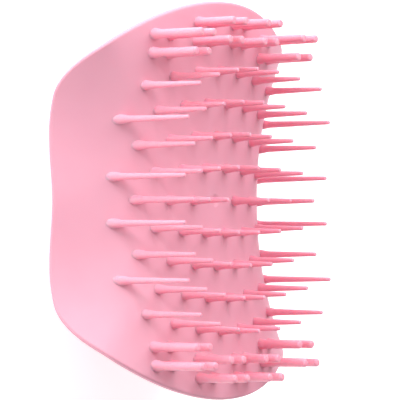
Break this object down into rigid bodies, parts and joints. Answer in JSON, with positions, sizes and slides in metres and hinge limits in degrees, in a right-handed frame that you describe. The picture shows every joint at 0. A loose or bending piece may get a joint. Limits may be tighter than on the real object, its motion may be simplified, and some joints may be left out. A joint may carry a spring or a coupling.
{
  "type": "scalp massager brush",
  "caption": "Palm-held scalp massager brush: a saddle-shaped elastomer plate with fine exfoliating teeth and thicker massaging teeth on a hollow palm shell.",
  "frame": {"origin": "centre of the flat crown of the back, on which the brush rests, at the lowest point", "axes": "+Z along the teeth, away from the palm; +Y along the long axis; +X across the width"},
  "size_m": [0.0688, 0.0908, 0.0492],
  "materials": {
    "plate_elastomer": "satin pink moulded elastomer with a very fine moulded texture",
    "fine_tooth_elastomer": "satin pink elastomer, slightly translucent in the thin teeth",
    "massage_tooth_elastomer": "satin pink elastomer",
    "shell_plastic": "satin pink moulded plastic with a fine spark texture"
  },
  "bodies": {
    "root": {"tooth_plate": "plate_elastomer", "fine_teeth_row_1": "fine_tooth_elastomer", "fine_teeth_row_2": "fine_tooth_elastomer", "fine_teeth_row_3": "fine_tooth_elastomer", "fine_teeth_row_4": "fine_tooth_elastomer", "fine_teeth_row_5": "fine_tooth_elastomer", "fine_teeth_row_6": "fine_tooth_elastomer", "fine_teeth_row_7": "fine_tooth_elastomer", "fine_teeth_row_8": "fine_tooth_elastomer", "fine_teeth_row_9": "fine_tooth_elastomer", "massage_teeth_a1": "massage_tooth_elastomer", "massage_teeth_a2": "massage_tooth_elastomer", "massage_teeth_a3": "massage_tooth_elastomer", "massage_teeth_a4": "massage_tooth_elastomer", "massage_teeth_b1": "massage_tooth_elastomer", "massage_teeth_b2": "massage_tooth_elastomer", "massage_teeth_b3": "massage_tooth_elastomer", "massage_teeth_b4": "massage_tooth_elastomer", "locating_pegs": "plate_elastomer", "back_shell": "shell_plastic"}
  },
  "joints": []
}
